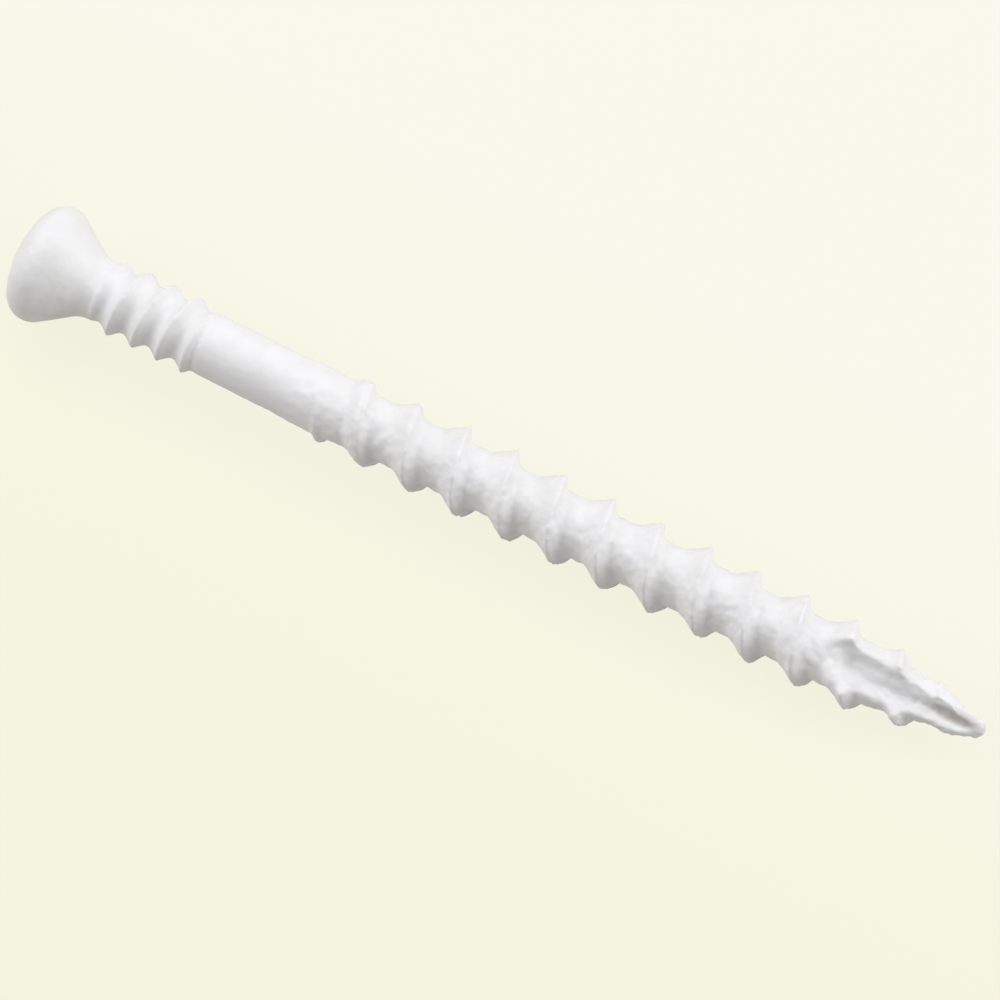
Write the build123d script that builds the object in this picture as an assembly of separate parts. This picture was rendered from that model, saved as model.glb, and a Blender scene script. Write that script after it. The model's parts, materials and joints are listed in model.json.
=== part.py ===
"""Trim head wood screw: one cold-headed, thread-rolled steel piece, painted white.

The screw is drawn along +X, with x = 0 at the widest ring of the head, the
dome of the head before it and the point at the far end. The cutting notch of
the point faces +Z. The finished screw is then rolled about its axis and laid
down as it comes to rest, on the rim of its head and its last full thread.
Lengths are in millimetres and angles in degrees.
"""
from math import atan2, ceil, cos, degrees, floor, pi, radians, sin, sqrt, tan
import os

from build123d import *

# Head
under_head_length = 55.5      # widest ring of the head to the tip
head_radius = 3.27
dome_height = 1.65
rim_rounding = 1.2            # round the widest ring, from the dome to the cone under it
under_head_angle = 34.0       # that cone, from the axis
neck_radius = 1.67
neck_rounding = 1.4           # hollow, between the cone and the neck
neck_step_length = 0.3        # from the neck down to the root of the fine thread

# Six-lobe drive recess
recess_across_lobes = 3.27
recess_across_waists = 2.37
recess_lobe_radius = 0.27
recess_depth = 2.4            # from the top of the dome
recess_floor_angle = 62.0     # its cone-shaped floor, from the axis

# Plain shank, from the fine thread to the main one
shank_radius = 1.71
shank_swell = [               # to the root of the main thread: before its start, radius
    (1.9, shank_radius), (0.5, 1.79), (-0.5, 1.79), (-1.9, shank_radius),
]
shank_step_length = 1.9       # from there down to that root

# Main thread: coarse, right-hand
main_pitch = 2.85
main_crest_radius = 2.32
main_head_flank = [(0.44, 0.30), (0.84, 0.56), (1.22, 0.77)]  # hollow, towards the head
main_tip_flank = [(0.14, 0.27), (0.28, 0.53), (0.48, 0.77)]   # steep, towards the point
main_crest_at = 17.12         # where the crest passes the -Y side
main_start = 16.2             # its ridge rises out of the shank here
main_run_in = [               # how low its first turns are: after the start, radius
    (1.0, 2.05), (2.8, 2.10), (3.9, 2.16), (5.1, 2.18), (6.6, 2.34),
]
main_narrowing = 0.146        # fall of its crest in the point, for each mm along it
main_run_out = [              # how low it is at its end: before the tip, radius
    (4.1, 1.80), (2.6, 1.08), (1.3, 0.80), (0.55, 0.45),
]

# Fine thread under the head: left-hand
fine_pitch = 1.5
fine_crest_radius = 2.06
fine_flank = [(0.26, 0.26), (0.60, 0.52)]                     # on each side
fine_crest_at = 4.52          # where the crest passes the -Y side
fine_start = 3.0              # where the ridge rises out of the neck
fine_end = 9.7
fine_rise_length = 1.2
fine_fall_length = 0.72
fine_step_length = 0.2        # from its root up to the shank

# Thread ridges. Each flank above is a line of (along the axis, below the crest)
# points, from the crest down to the root.
ridge_foot = 0.05             # how deep they are set into the core
ridge_end_sunk = 0.10         # how far under the root their fading ends are cut to
seam_turns = range(180, 540, 30)  # the kernel can miss a ridge that crosses the seam of
                              # a turned solid, so the seam is tried at these angles

# Point
point_length = 6.2            # tapered end of the core
nose = [                      # blunt end of that: before the tip, radius
    (0.80, 0.58), (0.25, 0.42), (0, 0.14), (0, 0),
]

# Cutting notch of the point: a right-angled groove with a rounded bottom line
notch_start_short = 10.2      # it starts this far before the tip
notch_floor = 0.39            # its bottom line above the axis, where it is straight
notch_tip_floor = 0.14        # and at the tip
notch_offset = 0.17           # its bottom line, to the +Y side of the axis
notch_tip_offset = -0.17      # and at the tip
notch_lean = 10.0             # its middle plane, turned towards -Y
notch_rounding = 0.30
notch_cutter_radius = 3.0     # disc that leaves the run-out towards the head
notch_gap = 8.0               # inside the notch, half the gap between two ridges

# At rest
notch_roll = 22.5             # turn of the notch from straight up

main_root_radius = main_crest_radius - main_head_flank[-1][1]
fine_root_radius = fine_crest_radius - fine_flank[-1][1]


def tangent_run(radius, turn):
    """Distance from a corner to the ends of the arc that rounds it."""
    return radius * tan(radians(turn / 2))


def on_line(start, angle, distance):
    """Point at a distance from start, angle counted from +X."""
    return start + Vector(cos(radians(angle)), sin(radians(angle))) * distance


def core():
    """Head, neck, shank, thread roots and point, turned about X."""
    rim = Vector(0, head_radius)
    rim_run = tangent_run(rim_rounding, under_head_angle)
    cone_corner = on_line(rim, 0, rim_run)
    cone_start = on_line(cone_corner, -under_head_angle, rim_run)
    cone_length = (head_radius - neck_radius) / sin(radians(under_head_angle))
    neck_corner = on_line(cone_corner, -under_head_angle, cone_length)
    neck_run = tangent_run(neck_rounding, under_head_angle)
    cone_end = on_line(neck_corner, -under_head_angle, -neck_run)
    neck_start = on_line(neck_corner, 0, neck_run)

    fine_root_from = Vector(neck_start.X + neck_step_length, fine_root_radius)
    fine_root_to = Vector(fine_end - fine_step_length, fine_root_radius)
    shank_from = Vector(fine_end, shank_radius)
    swell = [(main_start - before, radius) for before, radius in shank_swell]
    root_from = Vector(swell[-1][0] + shank_step_length, main_root_radius)
    root_to = Vector(under_head_length - point_length, main_root_radius)

    blunt_end = [(under_head_length - before, radius) for before, radius in nose]
    crown_radius = (
        (dome_height**2 + (head_radius - rim_rounding) ** 2 - rim_rounding**2)
        / (2 * (dome_height - rim_rounding))
    )
    crown_centre = Vector(crown_radius - dome_height, 0)
    rim_centre = Vector(0, head_radius - rim_rounding)
    crown_end = crown_centre + (rim_centre - crown_centre).normalized() * crown_radius

    section = [
        RadiusArc((-dome_height, 0), crown_end, crown_radius),
        ThreePointArc(crown_end, rim, cone_start),
        Line(cone_start, cone_end),
        TangentArc(cone_end, neck_start, tangent=neck_corner - cone_corner),
        Polyline(neck_start, fine_root_from, fine_root_to, shank_from, *swell,
                 root_from, root_to, *blunt_end, (-dome_height, 0)),
    ]
    return revolve(make_face(section), Axis.X)


def crest_line(pitch, hand, crest_at, start, end, start_radius, end_radius=None):
    """Helix of a thread's crest from one x to another, narrowing to end_radius
    if that is given. hand is 1 for a right-hand thread and -1 for a left-hand
    one, and the crest passes the -Y side at crest_at."""
    turn = pi + hand * 2 * pi * (start - crest_at) / pitch
    foot = Plane((start, 0, 0), x_dir=(0, cos(turn), sin(turn)), z_dir=(1, 0, 0))
    change = (end_radius or start_radius) - start_radius
    slope = degrees(atan2(change, end - start))
    return foot * Helix(pitch, end - start, start_radius, cone_angle=slope, lefthand=hand < 0)


def down_to(flank, depth):
    """Flank with its last stretch carried on, as straight, to a depth."""
    (along_1, down_1), (along_2, down_2) = ([(0, 0)] + flank)[-2:]
    share = (depth - down_1) / (down_2 - down_1)
    return flank[:-1] + [(along_1 + share * (along_2 - along_1), depth)]


def ridge(path, head_flank, tip_flank):
    """Sweep one thread ridge, with its crest on the path and a flank each side."""
    start = path @ 0
    outward = Vector(0, start.Y, start.Z).normalized()
    across = outward.cross(path % 0)
    across = across if across.X > 0 else -across
    plane = Plane(start, x_dir=across, z_dir=across.cross(outward))

    foot = head_flank[-1][1] + ridge_foot
    tip_side = [(along, -down) for along, down in down_to(tip_flank, foot)]
    head_side = [(-along, -down) for along, down in down_to(head_flank, foot)]
    section = Polyline((0, 0), *tip_side, *reversed(head_side), close=True)
    return sweep(plane * make_face(section), path, is_frenet=True)


def is_sound(solid, least_volume):
    """True for one closed solid that is as large as it should be."""
    return solid.is_valid and len(solid.solids()) == 1 and solid.volume > least_volume


def trimmed(swept_ridge, outer_line):
    """Ridge cut down to the turned solid inside a line of (x, radius) points."""
    first, last = outer_line[0][0], outer_line[-1][0]
    section = make_face(Polyline((first, 0), *outer_line, (last, 0), close=True))
    inside = revolve(section, Axis.X)
    for seam in seam_turns:
        cut = swept_ridge & (Rot(X=seam) * inside)
        if is_sound(cut, swept_ridge.volume / 2):
            return cut
    raise ValueError("a thread ridge can't be trimmed")


def notch_straight_from():
    """Where the notch reaches its full depth."""
    depth = main_root_radius - notch_floor
    run_out = sqrt(2 * notch_cutter_radius * depth - depth**2)
    return under_head_length - notch_start_short + run_out


def main_narrows_at():
    """Where the crest passes the middle of the notch for the first time, and
    starts to narrow. The ridges before and after it end inside the notch."""
    passes_notch = main_crest_at - main_pitch / 4
    nearly_deep = 0.25 * (under_head_length - notch_start_short) + 0.75 * notch_straight_from()
    return passes_notch + main_pitch * ceil((nearly_deep - passes_notch) / main_pitch)


def flank_width(flank):
    """How far a flank reaches along the axis, with its foot."""
    return down_to(flank, flank[-1][1] + ridge_foot)[-1][0]


def main_thread():
    """Ridges of the level thread and of its narrowing end."""
    narrows_at = main_narrows_at()
    gap = main_pitch * notch_gap / 360
    clear = main_crest_radius + 1
    sunk = main_root_radius - ridge_end_sunk
    hidden_start = main_start - flank_width(main_tip_flank)
    level_line = crest_line(main_pitch, 1, main_crest_at, hidden_start, narrows_at - gap,
                            main_crest_radius)
    run_in = [(main_start + after, radius) for after, radius in main_run_in]
    level = trimmed(ridge(level_line, main_head_flank, main_tip_flank), [
        (main_start, sunk), *run_in,
        (run_in[-1][0] + 1, clear), (narrows_at + main_pitch, clear),
    ])
    hidden_end = under_head_length + flank_width(main_head_flank)
    end_radius = main_crest_radius - main_narrowing * (hidden_end - narrows_at - gap)
    end_line = crest_line(main_pitch, 1, main_crest_at, narrows_at + gap, hidden_end,
                          main_crest_radius, end_radius)
    run_out = [(under_head_length - before, radius) for before, radius in main_run_out]
    narrowing = trimmed(ridge(end_line, main_head_flank, main_tip_flank), [
        (narrows_at - main_pitch, clear), (run_out[0][0] - 1, clear), *run_out,
    ])
    return [level, narrowing]


def fine_thread():
    """Ridge of the thread under the head, fading at both ends."""
    hidden = flank_width(fine_flank)
    line = crest_line(fine_pitch, -1, fine_crest_at, fine_start - hidden, fine_end + hidden,
                      fine_crest_radius)
    sunk = fine_root_radius - ridge_end_sunk
    clear = fine_crest_radius + 0.1
    return trimmed(ridge(line, fine_flank, fine_flank), [
        (fine_start, sunk), (fine_start + fine_rise_length, clear),
        (fine_end - fine_fall_length, clear), (fine_end, sunk),
    ])


def notch():
    """Cutter of the point's notch: straight to the tip, with the round run-out
    that a disc leaves at its head end."""
    straight_from = Vector(notch_straight_from(), notch_offset, notch_floor)
    tip = Vector(under_head_length, notch_tip_offset, notch_tip_floor)
    height = notch_cutter_radius * 0.85   # clears the thread, short of the disc's middle
    lean = radians(notch_lean)
    bottom = Plane(straight_from, x_dir=(0, cos(lean), sin(lean)), z_dir=tip - straight_from)
    sides = make_face(Polyline((0, 0), (height, height), (-height, height), close=True))
    groove = fillet(sides.vertices().sort_by(Axis.Y)[0], notch_rounding)
    section = bottom * groove
    straight = extrude(section, notch_start_short)
    disc_centre = bottom.origin + bottom.y_dir * notch_cutter_radius
    run_out_end = revolve(section, Axis(disc_centre, bottom.x_dir), 90)
    return straight + run_out_end


def recess():
    """Six-lobe drive recess: lobes and waists are tangent arcs in turn."""
    lobe_centre = recess_across_lobes / 2 - recess_lobe_radius
    waist = recess_across_waists / 2
    between = lobe_centre * cos(radians(30))
    waist_radius = (
        (recess_lobe_radius**2 - lobe_centre**2 - waist**2 + 2 * between * waist)
        / (2 * (waist - between - recess_lobe_radius))
    )
    arcs = []
    for lobe in range(6):
        angle = 60 * lobe
        centre = on_line(Vector(0, 0), angle, lobe_centre)
        next_centre = on_line(Vector(0, 0), angle + 60, lobe_centre)
        waist_centre = on_line(Vector(0, 0), angle + 30, waist + waist_radius)
        last_waist_centre = on_line(Vector(0, 0), angle - 30, waist + waist_radius)
        lobe_from = centre + (last_waist_centre - centre).normalized() * recess_lobe_radius
        lobe_to = centre + (waist_centre - centre).normalized() * recess_lobe_radius
        next_from = next_centre + (waist_centre - next_centre).normalized() * recess_lobe_radius
        lobe_top = on_line(Vector(0, 0), angle, recess_across_lobes / 2)
        arcs.append(ThreePointArc(lobe_from, lobe_top, lobe_to))
        arcs.append(ThreePointArc(lobe_to, on_line(Vector(0, 0), angle + 30, waist), next_from))
    mouth = Plane((-dome_height - 1, 0, 0), x_dir=(0, 0, 1), z_dir=(1, 0, 0))
    walls = extrude(mouth * make_face(arcs), recess_depth + 1)
    floor_at = recess_depth - dome_height
    floor_length = waist / tan(radians(recess_floor_angle))
    cone = make_face(Polyline((floor_at - 0.1, 0), (floor_at + floor_length, 0),
                              (floor_at, waist), (floor_at - 0.1, waist), close=True))
    return walls + revolve(cone, Axis.X)


def resting_slope():
    """Angle between the axis and the surface that the screw lies on: it touches
    the head rim and the last full crest that passes underneath."""
    below = main_crest_at + main_pitch * (90 - notch_roll) / 360
    turns = floor((main_narrows_at() - below) / main_pitch)
    return degrees(atan2(head_radius - main_crest_radius, below + main_pitch * turns))


def threaded_core():
    """Core with its thread ridges, as one solid."""
    ridges = [*main_thread(), fine_thread()]
    plain = core()
    for seam in seam_turns:
        body = Rot(X=seam) * plain
        joined = True
        for thread_ridge in ridges:
            least_volume = body.volume + thread_ridge.volume / 4
            body += thread_ridge
            joined = joined and is_sound(body, least_volume)
        if joined:
            return body
    raise ValueError("the thread ridges don't join the core")


def screw():
    """The finished screw, lying down along +X."""
    threaded = threaded_core()
    body = threaded - [notch(), recess()]
    if not is_sound(body, threaded.volume / 2):
        raise ValueError("the notch or the recess can't be cut")
    lying = Rot(Y=resting_slope()) * (Rot(X=notch_roll) * body)
    box = lying.bounding_box()
    return Pos(-box.center().X, -box.center().Y, -box.min.Z) * lying


if __name__ == "__main__":
    os.makedirs("parts", exist_ok=True)
    trim_screw = screw()
    trim_screw.label = "trim_screw"
    export_step(trim_screw, "parts/trim_screw.step")
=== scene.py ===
"""A trim head wood screw on a pale table: one piece of steel, thickly painted white."""
import json
import math

import bpy
from mathutils import Matrix, Vector

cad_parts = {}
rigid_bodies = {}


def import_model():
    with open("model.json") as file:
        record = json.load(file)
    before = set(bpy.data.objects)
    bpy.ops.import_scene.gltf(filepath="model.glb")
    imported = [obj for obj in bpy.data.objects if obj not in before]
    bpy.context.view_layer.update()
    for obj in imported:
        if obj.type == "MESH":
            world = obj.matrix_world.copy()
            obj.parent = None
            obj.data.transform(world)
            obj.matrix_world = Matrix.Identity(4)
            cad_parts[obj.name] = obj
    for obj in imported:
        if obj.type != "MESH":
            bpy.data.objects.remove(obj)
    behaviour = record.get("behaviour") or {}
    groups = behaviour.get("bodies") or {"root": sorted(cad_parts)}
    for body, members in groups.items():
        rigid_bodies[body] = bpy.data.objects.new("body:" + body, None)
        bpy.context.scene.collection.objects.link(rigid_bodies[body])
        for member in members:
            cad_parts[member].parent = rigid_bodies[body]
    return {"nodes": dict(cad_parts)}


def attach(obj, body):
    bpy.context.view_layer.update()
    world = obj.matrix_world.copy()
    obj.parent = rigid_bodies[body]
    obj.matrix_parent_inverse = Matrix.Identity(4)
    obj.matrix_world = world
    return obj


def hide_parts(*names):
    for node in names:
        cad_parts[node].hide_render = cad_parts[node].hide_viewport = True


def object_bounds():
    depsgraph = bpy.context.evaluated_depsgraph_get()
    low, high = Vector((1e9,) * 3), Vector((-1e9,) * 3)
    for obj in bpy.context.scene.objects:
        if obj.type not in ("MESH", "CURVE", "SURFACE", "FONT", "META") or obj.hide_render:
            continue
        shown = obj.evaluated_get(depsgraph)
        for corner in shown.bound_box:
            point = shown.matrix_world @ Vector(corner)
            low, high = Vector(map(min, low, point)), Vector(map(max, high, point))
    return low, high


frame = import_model()
cad_box = [list(corner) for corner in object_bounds()]
millimetre = 0.001

# The camera looks down on the lying screw through a long lens, from beside its point.
# It is rolled, so that the screw falls from the upper left to the lower right, and
# aimed a little below the screw's middle.
screw_middle = (Vector(cad_box[0]) + Vector(cad_box[1])) / 2
screw_axis = Vector((0.99979, 0, -0.02058))  # from the head to the point, which lies lower
axis_fall = math.radians(26.6)
to_camera = Vector((0.2266, -0.3743, 0.8991)).normalized()
axis_in_picture = (screw_axis - screw_axis.dot(to_camera) * to_camera).normalized()
across_in_picture = to_camera.cross(axis_in_picture)
picture_right = math.cos(axis_fall) * axis_in_picture + math.sin(axis_fall) * across_in_picture
picture_up = to_camera.cross(picture_right)
camera_distance = 400 * millimetre
aim = screw_middle + (0.14 * picture_right - 0.83 * picture_up) * millimetre

camera_data = bpy.data.cameras.new("camera")
camera_data.lens = 277.9
camera_data.sensor_width = 36
camera_data.clip_start = 0.01
camera = bpy.data.objects.new("camera", camera_data)
camera.location = aim + to_camera * camera_distance
camera.rotation_euler = Matrix((picture_right, picture_up, to_camera)).transposed().to_euler()
bpy.context.scene.collection.objects.link(camera)
bpy.context.scene.camera = camera
bpy.context.scene.view_settings.view_transform = "Standard"

# The screw is one piece of steel, headed and thread-rolled. It was dipped or sprayed
# white, and its coat of paint is thick enough to round the crests and fill the roots
# of both threads. The coat starts as a copy of the steel, without the node's own marks.
bpy.ops.object.select_all(action="DESELECT")
steel = frame["nodes"]["trim_screw"]
painted = steel.copy()
painted.data = steel.data.copy()
painted.name = "painted_screw"
painted.data.name = "painted_screw"
bpy.context.scene.collection.objects.link(painted)
bpy.context.view_layer.objects.active = painted
painted.select_set(True)
painted.parent = None
for mark in list(painted.keys()):
    del painted[mark]

bpy.ops.object.mode_set(mode="EDIT")
bpy.ops.mesh.select_all(action="SELECT")
bpy.ops.mesh.remove_doubles(threshold=0.002 * millimetre)
bpy.ops.object.mode_set(mode="OBJECT")

# Beads of paint gathered in and around the cutting notch. Each is placed in
# millimetres: back from the point, out to the notch's far rim, and up out of it. Then
# come its radius, and how many times longer than wide it is drawn along the screw.
point_end = Vector((28.52, 0, 2.128)) * millimetre
far_side = Vector((0, 0.924, 0.383))
notch_side = Vector((0, -0.383, 0.924))
paint_beads = (
    # the pool that fills the start of the notch
    (9.40, -0.13, 0.77, 0.76, 1.0),
    (8.50, 0.25, 0.72, 0.62, 1.0),
    (8.40, -0.60, 0.85, 0.62, 1.0),
    (8.20, -1.00, 1.00, 0.58, 1.0),
    # along the floor of the notch
    (6.10, 0.22, 0.32, 0.52, 6.0),
    # on the very point, and on its lower lip
    (0.36, 0.24, 0.10, 0.32, 1.0),
    (0.95, -0.40, 0.08, 0.28, 1.0),
    # the ragged row that dried on the far rim
    (5.30, 1.35, 0.10, 0.33, 1.0),
    (4.55, 1.12, 0.10, 0.33, 1.0),
    (3.75, 1.00, 0.10, 0.30, 1.0),
    (2.97, 1.00, 0.10, 0.29, 1.0),
    (2.20, 0.78, 0.10, 0.25, 1.0),
    (1.40, 0.47, 0.12, 0.20, 1.0),
)
for back, out, up, radius, stretch in paint_beads:
    off_axis = (far_side * out + notch_side * up) * millimetre
    bpy.ops.mesh.primitive_uv_sphere_add(
        segments=24,
        ring_count=16,
        radius=radius * millimetre,
        location=point_end - screw_axis * back * millimetre + off_axis,
        scale=(stretch, 1, 1),
    )
for piece in bpy.context.scene.objects:
    piece.select_set(piece == painted or piece.name.startswith("Sphere"))
bpy.context.view_layer.objects.active = painted
bpy.ops.object.join()

# One closed skin goes over steel and beads, and the wet paint flows level.
skin = painted.modifiers.new("skin", "REMESH")
skin.mode = "VOXEL"
skin.voxel_size = 0.11 * millimetre
flow = painted.modifiers.new("flow", "SMOOTH")
flow.factor = 0.5
flow.iterations = 10
for modifier in ("skin", "flow"):
    bpy.ops.object.modifier_apply(modifier=modifier)

# The coat is smooth on the head and the shank and lumpy over the coarse thread. It
# is most ragged at the point, and it has pooled where the notch starts. These places
# are in millimetres along the screw from its middle, towards the point.
lumps_start, lumps_grow_over, least_lumpy = -14, 5, 0.25
rags_start, rags_grow_over = 22, 3
pool_start, pool_grows_over, pool_end, pool_fades_over = 17, 2, 26, 5
pool_height = 2.4

lumpy = painted.vertex_groups.new(name="lumpy")
ragged = painted.vertex_groups.new(name="ragged")
pooled = painted.vertex_groups.new(name="pooled")
for vertex in painted.data.vertices:
    along = vertex.co.x / millimetre
    lumpiness = min(max((along - lumps_start) / lumps_grow_over, least_lumpy), 1)
    lumpy.add([vertex.index], lumpiness, "REPLACE")
    if along > rags_start:
        raggedness = min((along - rags_start) / rags_grow_over, 1)
        ragged.add([vertex.index], raggedness, "REPLACE")
    in_pool = vertex.co.dot(notch_side) > pool_height * millimetre
    if pool_start < along < pool_end and in_pool:
        deepening = min((along - pool_start) / pool_grows_over, 1)
        thinning = min((pool_end - along) / pool_fades_over, 1)
        pooled.add([vertex.index], deepening * thinning, "REPLACE")

pool = painted.modifiers.new("pool", "SMOOTH")
pool.vertex_group = "pooled"
pool.factor = 0.5
pool.iterations = 45
bpy.ops.object.modifier_apply(modifier="pool")
for name, group, grain, height in (
    ("swells", "lumpy", 1.6, 0.12),
    ("lumps", "lumpy", 0.50, 0.12),
    ("crumbs", "ragged", 0.40, 0.16),
):
    grain_texture = bpy.data.textures.new(name, "CLOUDS")
    grain_texture.noise_scale = grain * millimetre
    grain_texture.noise_depth = 1
    build_up = painted.modifiers.new(name, "DISPLACE")
    build_up.texture = grain_texture
    build_up.texture_coords = "LOCAL"
    build_up.vertex_group = group
    build_up.mid_level = 0.55
    build_up.strength = height * millimetre
    bpy.ops.object.modifier_apply(modifier=name)
bpy.ops.object.shade_smooth()

# White enamel: satin, with a faint orange peel.
paint = bpy.data.materials.new("white_paint")
paint.use_nodes = True
nodes, links = paint.node_tree.nodes, paint.node_tree.links
shader = nodes["Principled BSDF"]
shader.inputs["Roughness"].default_value = 0.5
place = nodes.new("ShaderNodeTexCoord")
peel = nodes.new("ShaderNodeTexNoise")
peel.inputs["Scale"].default_value = 3200
peel.inputs["Detail"].default_value = 2
peel_bump = nodes.new("ShaderNodeBump")
peel_bump.inputs["Strength"].default_value = 0.6
peel_bump.inputs["Distance"].default_value = 0.02 * millimetre
links.new(place.outputs["Object"], peel.inputs["Vector"])
links.new(peel.outputs["Fac"], peel_bump.inputs["Height"])
links.new(peel_bump.outputs["Normal"], shader.inputs["Normal"])

# The white is a little cooler where the coat is thick and greyer where it is thin.
clouds = nodes.new("ShaderNodeTexNoise")
clouds.inputs["Scale"].default_value = 750
clouds.inputs["Detail"].default_value = 3
whites = nodes.new("ShaderNodeValToRGB")
whites.color_ramp.elements[0].position = 0.35
whites.color_ramp.elements[0].color = (0.85, 0.845, 0.85, 1)
whites.color_ramp.elements[1].position = 0.62
whites.color_ramp.elements[1].color = (0.885, 0.885, 0.905, 1)
links.new(place.outputs["Object"], clouds.inputs["Vector"])
links.new(clouds.outputs["Fac"], whites.inputs["Fac"])

# Two long soft spots of painted shade lie over the white: the trough of the notch is painted
# grey, and its narrow end a darker brownish grey, painted shade tinted brown where the steel
# shows through the thin coat. Centres and half sizes are in millimetres.
coat_and_shade_colour = whites.outputs["Color"]
for centre, half_size, strongest, shade_tint in (
    # painted shade in the trough of the notch
    ((23.0, -0.90, 2.7), (5.0, 0.9, 1.0), 0.7, (0.76, 0.76, 0.775, 1)),
    # painted shade at the notch's narrow end, tinted brown where the steel shows through the
    # thin coat
    ((26.7, -0.05, 2.45), (2.0, 0.5, 0.6), 0.8, (0.50, 0.46, 0.41, 1)),
):
    shade_spot_place = nodes.new("ShaderNodeMapping")
    shade_spot_place.vector_type = "TEXTURE"
    shade_spot_place.inputs["Location"].default_value = Vector(centre) * millimetre
    shade_spot_place.inputs["Scale"].default_value = Vector(half_size) * millimetre
    shade_spot = nodes.new("ShaderNodeTexGradient")
    shade_spot.gradient_type = "SPHERICAL"
    shade_spot_depth = nodes.new("ShaderNodeMapRange")
    shade_spot_depth.inputs["From Max"].default_value = 0.5
    shade_spot_depth.inputs["To Max"].default_value = strongest
    shade_spot_colour = nodes.new("ShaderNodeMix")
    shade_spot_colour.data_type = "RGBA"
    shade_spot_colour.inputs["B"].default_value = shade_tint
    links.new(place.outputs["Object"], shade_spot_place.inputs["Vector"])
    links.new(shade_spot_place.outputs["Vector"], shade_spot.inputs["Vector"])
    links.new(shade_spot.outputs["Fac"], shade_spot_depth.inputs["Value"])
    links.new(shade_spot_depth.outputs["Result"], shade_spot_colour.inputs["Factor"])
    links.new(coat_and_shade_colour, shade_spot_colour.inputs["A"])
    coat_and_shade_colour = shade_spot_colour.outputs["Result"]
links.new(coat_and_shade_colour, shader.inputs["Base Color"])
painted.data.materials.clear()
painted.data.materials.append(paint)

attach(painted, "root")
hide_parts("trim_screw")

# A plain table top that the screw lies on: smooth matt board, wide enough to fill
# every view. It isn't part of the screw.
bpy.ops.mesh.primitive_plane_add(size=4, location=(0, 0, 0))
table = bpy.context.object
table.name = "table"
table_top = bpy.data.materials.new("table_top")
table_top.use_nodes = True
nodes, links = table_top.node_tree.nodes, table_top.node_tree.links
table_shader = nodes["Principled BSDF"]
table_shader.inputs["Base Color"].default_value = (0.55, 0.53, 0.47, 1)
table_shader.inputs["Roughness"].default_value = 0.9
table_shader.inputs["Specular IOR Level"].default_value = 0.1

# Seen directly, the table is a cream with painted light, paler towards the far right, and
# it keeps a part of its own shading, so that a soft shadow stays under the screw.
pale_cream = (1.0, 1.0, 0.897, 1)
place = nodes.new("ShaderNodeTexCoord")
across_table = nodes.new("ShaderNodeMapping")
across_table.vector_type = "TEXTURE"
fade_way = 0.45 * picture_right + 0.89 * picture_up
fade_way.z = 0
fade_start = aim - 14 * millimetre * fade_way
fade_length = 30 * millimetre
across_table.inputs["Location"].default_value = fade_start
across_table.inputs["Rotation"].default_value = (0, 0, math.atan2(fade_way.y, fade_way.x))
across_table.inputs["Scale"].default_value = (fade_length,) * 3
# painted light: the table's cream brightens towards the far right
painted_light_fade = nodes.new("ShaderNodeTexGradient")
painted_light_creams = nodes.new("ShaderNodeValToRGB")
painted_light_creams.color_ramp.elements[0].color = (0.964, 0.957, 0.775, 1)
painted_light_creams.color_ramp.elements[1].color = pale_cream
glow = nodes.new("ShaderNodeEmission")
light_path = nodes.new("ShaderNodeLightPath")
seen = nodes.new("ShaderNodeMath")
seen.operation = "MAXIMUM"
share = nodes.new("ShaderNodeMath")
share.operation = "MULTIPLY"
share.inputs[1].default_value = 0.87
surface = nodes.new("ShaderNodeMixShader")
links.new(place.outputs["Object"], across_table.inputs["Vector"])
links.new(across_table.outputs["Vector"], painted_light_fade.inputs["Vector"])
links.new(painted_light_fade.outputs["Fac"], painted_light_creams.inputs["Fac"])
links.new(painted_light_creams.outputs["Color"], glow.inputs["Color"])
links.new(light_path.outputs["Is Camera Ray"], seen.inputs[0])
links.new(light_path.outputs["Is Glossy Ray"], seen.inputs[1])
links.new(seen.outputs["Value"], share.inputs[0])
links.new(share.outputs["Value"], surface.inputs["Fac"])
links.new(table_shader.outputs["BSDF"], surface.inputs[1])
links.new(glow.outputs["Emission"], surface.inputs[2])
links.new(surface.outputs["Shader"], nodes["Material Output"].inputs["Surface"])
table.data.materials.append(table_top)

# Three soft boxes in a dim room with a pale backdrop: the brightest box stands
# behind the point, one behind the head, and one beyond the head's end.
world = bpy.data.worlds.new("studio")
world.use_nodes = True
nodes, links = world.node_tree.nodes, world.node_tree.links
room_light = nodes["Background"]
room_light.inputs["Color"].default_value = (1, 1, 1, 1)
room_light.inputs["Strength"].default_value = 0.28
backdrop = nodes.new("ShaderNodeBackground")
backdrop.inputs["Color"].default_value = pale_cream
light_path = nodes.new("ShaderNodeLightPath")
room = nodes.new("ShaderNodeMixShader")
links.new(light_path.outputs["Is Camera Ray"], room.inputs["Fac"])
links.new(room_light.outputs["Background"], room.inputs[1])
links.new(backdrop.outputs["Background"], room.inputs[2])
links.new(room.outputs["Shader"], nodes["World Output"].inputs["Surface"])
bpy.context.scene.world = world

box_distance = 1
box_width = 0.8
for name, along, across, outward, power in (
    ("behind the point", 0.6, 0.6, 0.5, 6.6),
    ("behind the head", -0.6, 0.6, 0.5, 3.5),
    ("beyond the head", -0.85, 0, 0.5, 4.0),
):
    toward = along * axis_in_picture + across * across_in_picture + outward * to_camera
    soft_box = bpy.data.lights.new(name, "AREA")
    soft_box.shape = "SQUARE"
    soft_box.size = box_width
    soft_box.energy = power
    lamp = bpy.data.objects.new(name, soft_box)
    lamp.location = screw_middle + toward.normalized() * box_distance
    lamp.rotation_euler = toward.to_track_quat("Z", "Y").to_euler()
    bpy.context.scene.collection.objects.link(lamp)
